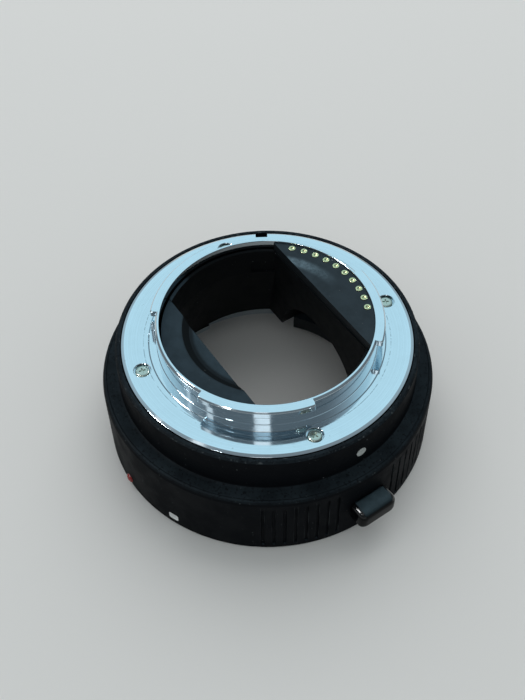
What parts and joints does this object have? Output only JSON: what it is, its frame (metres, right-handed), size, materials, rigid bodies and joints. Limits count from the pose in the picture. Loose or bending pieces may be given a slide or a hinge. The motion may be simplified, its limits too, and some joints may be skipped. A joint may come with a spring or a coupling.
{
  "type": "lens mount adapter",
  "caption": "Short black ring that joins a wide-mount lens to a narrow-mount camera, with a bright bayonet, gold contacts, a straight-sided light baffle and a lens release lever.",
  "frame": {"origin": "centre of the front flange face, where a lens seats", "axes": "+Z along the optical axis, out of the camera side; +Y towards the raised lens index; the release lever is at -X"},
  "size_m": [0.0739, 0.0704, 0.0314],
  "materials": {
    "black_metal": "satin black, with dust and lightly worn edges",
    "bright_nickel": "polished nickel plate with fine turning marks",
    "screw_nickel": "warm nickel plate",
    "gold_plate": "gold plate",
    "dark_plastic": "matt slate-black moulding",
    "gloss_black": "gloss black moulding",
    "white_paint": "white enamel",
    "red_paint": "red enamel",
    "fastener_steel": "plain steel",
    "spring_steel": "spring steel",
    "board_green": "green solder mask",
    "flex_amber": "amber film"
  },
  "bodies": {
    "housing": {"front_barrel": "black_metal", "rear_housing": "black_metal", "housing_screws": "fastener_steel", "rear_mount_ring": "bright_nickel", "rear_mount_screws": "screw_nickel", "bayonet_stop_pin": "bright_nickel", "rear_contact_block": "dark_plastic", "rear_block_screws": "fastener_steel", "rear_contact_1": "gold_plate", "rear_contact_2": "gold_plate", "rear_contact_3": "gold_plate", "rear_contact_4": "gold_plate", "rear_contact_5": "gold_plate", "rear_contact_6": "gold_plate", "rear_contact_7": "gold_plate", "rear_contact_8": "gold_plate", "rear_contact_9": "gold_plate", "rear_contact_10": "gold_plate", "light_baffle": "dark_plastic", "baffle_screws": "fastener_steel", "front_mount_ring": "bright_nickel", "front_mount_screws": "screw_nickel", "leaf_spring_1": "spring_steel", "leaf_spring_2": "spring_steel", "leaf_spring_3": "spring_steel", "front_contact_block": "dark_plastic", "front_block_screws": "fastener_steel", "pin_spring_1": "spring_steel", "pin_spring_2": "spring_steel", "pin_spring_3": "spring_steel", "pin_spring_4": "spring_steel", "pin_spring_5": "spring_steel", "pin_spring_6": "spring_steel", "pin_spring_7": "spring_steel", "pin_spring_8": "spring_steel", "circuit_board": "board_green", "board_screws": "fastener_steel", "processor_chip": "dark_plastic", "power_chip": "dark_plastic", "flex_connector": "white_paint", "rear_flex": "flex_amber", "front_flex": "flex_amber", "lock_spring": "spring_steel", "lens_index_bead": "red_paint", "lens_index_square": "white_paint", "camera_index_dot": "white_paint"},
    "release": {"release_lever": "gloss_black", "release_carrier": "fastener_steel", "lever_screws": "fastener_steel", "lock_pin": "bright_nickel"},
    "contact_pin_1": {"front_pin_1": "gold_plate"},
    "contact_pin_2": {"front_pin_2": "gold_plate"},
    "contact_pin_3": {"front_pin_3": "gold_plate"},
    "contact_pin_4": {"front_pin_4": "gold_plate"},
    "contact_pin_5": {"front_pin_5": "gold_plate"},
    "contact_pin_6": {"front_pin_6": "gold_plate"},
    "contact_pin_7": {"front_pin_7": "gold_plate"},
    "contact_pin_8": {"front_pin_8": "gold_plate"}
  },
  "joints": [
    {"name": "release_slide", "type": "slide", "parent": "housing", "child": "release", "axis": [0, 0, 1], "range_m": [-0.0013, 0.0005], "stiffness_N_per_m": 150, "springref_m": -0.0013, "deforming": ["lock_spring"]},
    {"name": "pin_slide_1", "type": "slide", "parent": "housing", "child": "contact_pin_1", "axis": [0, 0, 1], "range_m": [0, 0.001], "stiffness_N_per_m": 200, "deforming": ["pin_spring_1"]},
    {"name": "pin_slide_2", "type": "slide", "parent": "housing", "child": "contact_pin_2", "axis": [0, 0, 1], "range_m": [0, 0.001], "stiffness_N_per_m": 200, "deforming": ["pin_spring_2"]},
    {"name": "pin_slide_3", "type": "slide", "parent": "housing", "child": "contact_pin_3", "axis": [0, 0, 1], "range_m": [0, 0.001], "stiffness_N_per_m": 200, "deforming": ["pin_spring_3"]},
    {"name": "pin_slide_4", "type": "slide", "parent": "housing", "child": "contact_pin_4", "axis": [0, 0, 1], "range_m": [0, 0.001], "stiffness_N_per_m": 200, "deforming": ["pin_spring_4"]},
    {"name": "pin_slide_5", "type": "slide", "parent": "housing", "child": "contact_pin_5", "axis": [0, 0, 1], "range_m": [0, 0.001], "stiffness_N_per_m": 200, "deforming": ["pin_spring_5"]},
    {"name": "pin_slide_6", "type": "slide", "parent": "housing", "child": "contact_pin_6", "axis": [0, 0, 1], "range_m": [0, 0.001], "stiffness_N_per_m": 200, "deforming": ["pin_spring_6"]},
    {"name": "pin_slide_7", "type": "slide", "parent": "housing", "child": "contact_pin_7", "axis": [0, 0, 1], "range_m": [0, 0.001], "stiffness_N_per_m": 200, "deforming": ["pin_spring_7"]},
    {"name": "pin_slide_8", "type": "slide", "parent": "housing", "child": "contact_pin_8", "axis": [0, 0, 1], "range_m": [0, 0.001], "stiffness_N_per_m": 200, "deforming": ["pin_spring_8"]}
  ]
}
